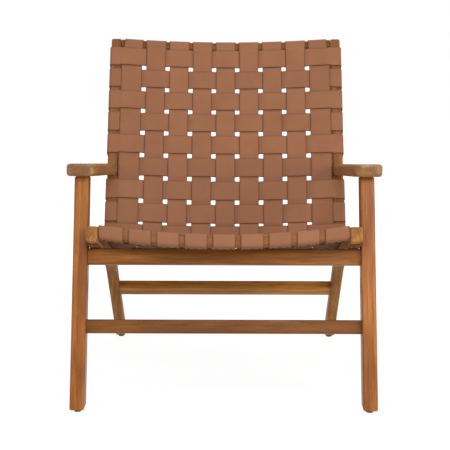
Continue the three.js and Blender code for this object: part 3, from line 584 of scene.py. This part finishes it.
def hide_tone():
    """One strap's tone: 1, give or take a share for all of it and a smaller one for each colour."""
    return 1 + tones.uniform(-TONE_RANGE, TONE_RANGE) + tones.uniform(-HUE_RANGE, HUE_RANGE, 3)


def quarter_turn(start, stop):
    """The cosines and sines of the steps round a bend, between two angles in degrees."""
    angles = np.radians(np.linspace(start, stop, BEND_STEPS + 1))
    return np.cos(angles), np.sin(angles)


front_low, front_high = quarter_turn(270, 180), quarter_turn(180, 90)
top_high, top_low = quarter_turn(90, 0), quarter_turn(0, -90)
field = np.arange(FRONT_MIDDLE + STEP, TOP_MIDDLE, STEP)
distance = np.concatenate([
    [FRONT_END, FRONT_END - STEP, FRONT_MIDDLE + STEP], FRONT_MIDDLE + BEND * front_low[0],
    FRONT_MIDDLE + BEND * front_high[0], field, TOP_MIDDLE + BEND * top_high[0],
    TOP_MIDDLE + BEND * top_low[0], [TOP_MIDDLE - STEP, TOP_START + STEP, TOP_START]])
front_lift = np.concatenate([
    np.full(3, -FRONT_HEIGHT - LIFT), RAIL_ROUNDING - FRONT_HEIGHT + BEND * front_low[1],
    -RAIL_ROUNDING + BEND * front_high[1]])
top_lift = np.concatenate([
    -RAIL_ROUNDING + BEND * top_high[1], RAIL_ROUNDING - TOP_THICKNESS + BEND * top_low[1],
    np.full(3, -TOP_THICKNESS - LIFT)])
row_knots = np.stack([ROW_PLACES - HOLD, ROW_PLACES + HOLD], axis=1).ravel()
knots = np.concatenate([[FRONT_END], row_knots, [TOP_START + CLEARANCE]])
across, through, places = strap_section(STRAP_WIDTH)
share = 2 * across / STRAP_WIDTH
for strap in range(STRAP_COUNT):
    swings = np.where((rows + strap) % 2 == 0, -SWING, SWING)
    weave = smooth_steps(knots, np.concatenate([[0], np.repeat(swings, 2), [0]]), field)
    lift = np.concatenate([front_lift, LIFT + weave, top_lift])
    normal_along, normal_up = path_normals(distance, lift)
    edge_growth = np.array([[0, TOP_SPREAD], [0, TOP_SPREAD]])
    if strap in (0, STRAP_COUNT - 1):
        edge_growth = np.array([[OUTER_EDGE, OUTER_EDGE_TOP], [0, INNER_EDGE_TOP]])
        edge_growth = edge_growth if strap == 0 else edge_growth[::-1]
    left_growth, right_growth = (
        smooth_steps([SPREAD_START, TOP_MIDDLE], growth, distance) for growth in edge_growth)
    x = (STRAP_PLACES[strap] + across + left_growth[:, None] * np.minimum(share, 0)
         + right_growth[:, None] * np.maximum(share, 0))
    points = sling(x, distance[:, None] + normal_along[:, None] * through,
                   lift[:, None] + normal_up[:, None] * through)
    piece = strap_object(f"long_leather_{strap + 1}", points, places, hide_tone())
    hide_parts(f"long_strap_{strap + 1}")

# The cross straps, fifteen strips that lie over and under the long ones. They are folded round the
# side frames, where the leather spreads a little; the two in the sweep stop on the frame's side, and
# the one at the armrests passes behind the posts.
RAIL_DEPTH = 0.034
FRAME_ROUNDING = 0.0045
TAIL = 0.022            # how far the strap goes in under the frame
SHORT_WRAP = 0.026      # how far it goes down the frame's side in the sweep
SIDE_STEPS = 8
OUTER = INSIDE_HALF + FRAME_WIDTH
OUTER_CORNER = OUTER - FRAME_ROUNDING
INNER_CORNER = INSIDE_HALF + FRAME_ROUNDING
WRAP_BEND = FRAME_ROUNDING + LIFT
SLIT_TURN = INSIDE_HALF - LIFT - SWING
SIDE_SPREAD = 0.0013
ARM_ROW = 9
SWEEP_ROWS = (5, 6)
upper_bend, lower_bend = quarter_turn(90, 0), quarter_turn(0, -90)
inner_bend = quarter_turn(180, 270)
strap_knots = np.stack([STRAP_PLACES - HOLD, STRAP_PLACES + HOLD], axis=1).ravel()
strap_knots[[0, -1]] += np.array([-OUTER_EDGE, OUTER_EDGE])


def end_round_frame(row):
    """The end of a row's path round the side frame: two quarter bends, or one in the sweep."""
    across = OUTER_CORNER + WRAP_BEND * upper_bend[0]
    lift = -FRAME_ROUNDING + WRAP_BEND * upper_bend[1]
    if row in SWEEP_ROWS:
        side = np.linspace(-FRAME_ROUNDING - STEP, -SHORT_WRAP, SIDE_STEPS)
        return np.concatenate([across, np.full(SIDE_STEPS, OUTER + LIFT)]), np.concatenate([lift, side])
    tail = [OUTER_CORNER - STEP, OUTER - TAIL + STEP, OUTER - TAIL]
    across = np.concatenate([across, OUTER_CORNER + WRAP_BEND * lower_bend[0], tail])
    lift = np.concatenate([lift, FRAME_ROUNDING - RAIL_DEPTH + WRAP_BEND * lower_bend[1],
                           np.full(len(tail), -RAIL_DEPTH - LIFT)])
    return across, lift


def end_behind_post():
    """The end of the armrest row's path: down the slit beside the post, and across the post's back."""
    tail = [INNER_CORNER + STEP, OUTER_CORNER]
    across = np.concatenate([SLIT_TURN + SWING * upper_bend[0],
                             INNER_CORNER + WRAP_BEND * inner_bend[0], tail])
    lift = np.concatenate([LIFT - 2 * SWING + SWING * upper_bend[1],
                           FRAME_ROUNDING - RAIL_DEPTH + WRAP_BEND * inner_bend[1],
                           np.full(len(tail), -RAIL_DEPTH - LIFT)])
    return across, lift


def row_distance(row, offset, x):
    """Where a place across a row lies along the wood line, with the row's width kept true.

    In the sweep the sling is longer than the wood line by dish / radius, so an offset from the
    row's middle counts for less there."""
    excess = dish(x, ROW_PLACES[row]) / SWEEP_RADIUS
    length = ROW_PLACES[row] + excess * np.clip(ROW_PLACES[row], SWEEP_START, SWEEP_END) + offset
    return length - excess * np.clip(length / (1 + excess), SWEEP_START, SWEEP_END)


across, through, places = strap_section(ROW_WIDTH)
for row in range(ROW_COUNT):
    if row == ARM_ROW:
        end_across, end_lift = end_behind_post()
        reach, knot_end, end_swing = SLIT_TURN, SLIT_TURN, -SWING
    else:
        end_across, end_lift = end_round_frame(row)
        reach, knot_end, end_swing = OUTER_CORNER - STEP / 2, INSIDE_HALF, 0
    half_field = np.arange(0, reach, STEP)
    field = np.concatenate([-half_field[:0:-1], half_field])
    swings = np.where((row + np.arange(STRAP_COUNT)) % 2 == 0, SWING, -SWING)
    weave = smooth_steps(np.concatenate([[-knot_end], strap_knots, [knot_end]]),
                         np.concatenate([[end_swing], np.repeat(swings, 2), [end_swing]]), field)
    path_across = np.concatenate([-end_across[::-1], field, end_across])
    path_lift = np.concatenate([end_lift[::-1], LIFT + weave, end_lift])
    normal_across, normal_up = path_normals(path_across, path_lift)
    x = path_across[:, None] + normal_across[:, None] * through
    height = path_lift[:, None] + normal_up[:, None] * through
    spreading = smooth_steps([INSIDE_HALF - LIFT - STEP, INNER_CORNER], [0, SIDE_SPREAD],
                             np.abs(path_across))
    offset = -across * (1 + 2 * spreading[:, None] / ROW_WIDTH)
    inside_x = np.clip(x, -INSIDE_HALF, INSIDE_HALF)
    on_top = np.maximum(height, LIFT - 2 * SWING)
    points = sling(inside_x, row_distance(row, offset, inside_x), on_top)
    square_y, square_z = upward(ROW_PLACES[row])
    points[..., 0] = x
    points[..., 1] += square_y * (height - on_top)
    points[..., 2] += square_z * (height - on_top)
    piece = strap_object(f"cross_leather_{row + 1}", points, places, hide_tone())
    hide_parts(f"cross_strap_{row + 1}")

# The tacks. Short browned steel upholstery tacks with low domed heads, three across each strap end,
# driven through the turned-under leather into the wood where a sitter neither sees nor feels them.
tack_finish, tree, shader = new_finish("tack_steel")
shader.inputs["Metallic"].default_value = 1.0
place = tree.nodes.new("ShaderNodeTexCoord").outputs["Object"]
stains = mottle(tree, place, 380.0)
browned = shaded(tree, stains, 0.35, (0.045, 0.028, 0.018), 0.7, (0.110, 0.070, 0.044))
tree.links.new(browned, shader.inputs["Base Color"])
shader.inputs["Roughness"].default_value = 0.55
HEAD_RADIUS = 0.0036
HEAD_HEIGHT = 0.0009
HEAD_SINK = 0.0003
HEAD_SIDES = 12
HEAD_RINGS = 3
TACK_SPREAD = 0.016     # from a strap's middle to its outer tacks
END_MARGIN = 0.008      # from a strap's end to its tacks
head_share = np.linspace(0, 1, HEAD_RINGS, endpoint=False)
head_turn = np.linspace(0, 2 * math.pi, HEAD_SIDES, endpoint=False)
leather_face = CLEARANCE + STRAP_THICKNESS


def tack_heads(name, places, outward, sideways):
    """Domed heads in one mesh, each with its place, its outward direction and one square to that.

    At share s of the way in, a head's radius is r cos(s pi/2) and its height h sin(s pi/2). Each has a
    rim that sinks into the leather, rings of the dome, and a top point."""
    other = np.cross(outward, sideways)
    radius = HEAD_RADIUS * np.append(1.0, np.cos(head_share * math.pi / 2))
    height = np.append(-HEAD_SINK, HEAD_HEIGHT * np.sin(head_share * math.pi / 2))
    circle = np.stack([np.cos(head_turn), np.sin(head_turn)], axis=-1)
    flat = (radius[:, None, None] * circle).reshape(-1, 2)
    rise = np.repeat(height, HEAD_SIDES)
    points = (places[:, None] + flat[None, :, :1] * sideways[:, None]
              + flat[None, :, 1:] * other[:, None] + rise[None, :, None] * outward[:, None])
    tops = places + HEAD_HEIGHT * outward
    points = np.concatenate([points, tops[:, None]], axis=1)
    step = np.arange(HEAD_SIDES)
    after = (step + 1) % HEAD_SIDES
    ring = np.arange(HEAD_RINGS)[:, None] * HEAD_SIDES
    quads = np.stack([ring + step, ring + after, ring + after + HEAD_SIDES, ring + step + HEAD_SIDES],
                     axis=-1).reshape(-1, 4)
    last = HEAD_RINGS * HEAD_SIDES
    cap = np.stack([last + step, last + after, np.full(HEAD_SIDES, last + HEAD_SIDES)], axis=-1)
    starts = np.arange(len(places)) * points.shape[1]
    faces = [(face + start).tolist() for start in starts for face in (*quads, *cap, step[::-1])]
    mesh = bpy.data.meshes.new(name)
    mesh.from_pydata(points.reshape(-1, 3).tolist(), [], faces)
    mesh.polygons.foreach_set("use_smooth", [True] * len(faces))
    mesh.materials.append(tack_finish)
    heads = bpy.data.objects.new(name, mesh)
    bpy.context.scene.collection.objects.link(heads)
    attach(heads, "root")


def turned_down(distance):
    """The directions square to the wood line at some distances, away from the sling."""
    up_y, up_z = upward(distance)
    return -np.stack([0 * up_y, up_y, up_z], axis=-1)


spread = np.array([-TACK_SPREAD, 0.0, TACK_SPREAD])
across_x = (STRAP_PLACES[:, None] + spread).ravel()
rail_ends = (
    ("front_tacks", FRONT_END - END_MARGIN, -FRONT_HEIGHT - leather_face),
    ("top_tacks", TOP_START + END_MARGIN, -TOP_THICKNESS - leather_face),
)
for name, distance, lift in rail_ends:
    distances = np.full(len(across_x), distance)
    tack_heads(name, sling(across_x, distances, np.full(len(across_x), lift)), turned_down(distances),
               np.tile(ACROSS, (len(across_x), 1)))

in_sweep = np.isin(rows, SWEEP_ROWS)[:, None]
down = turned_down(ROW_PLACES)
run = np.cross(ACROSS, down)
row_ends = sling(np.full(ROW_COUNT, INSIDE_HALF), ROW_PLACES, np.zeros(ROW_COUNT))
row_ends = row_ends + down * np.where(in_sweep, SHORT_WRAP - END_MARGIN, RAIL_DEPTH + leather_face)
for name, side in (("side_tacks_left", -1), ("side_tacks_right", 1)):
    places = row_ends[:, None] + run[:, None] * spread[:, None]
    places[..., 0] = side * np.where(in_sweep, OUTER + leather_face, OUTER - TAIL + END_MARGIN)
    outward = np.where(in_sweep, side * np.array(ACROSS), down)
    tack_heads(name, places.reshape(-1, 3), np.repeat(outward, len(spread), axis=0),
               np.repeat(run, len(spread), axis=0))
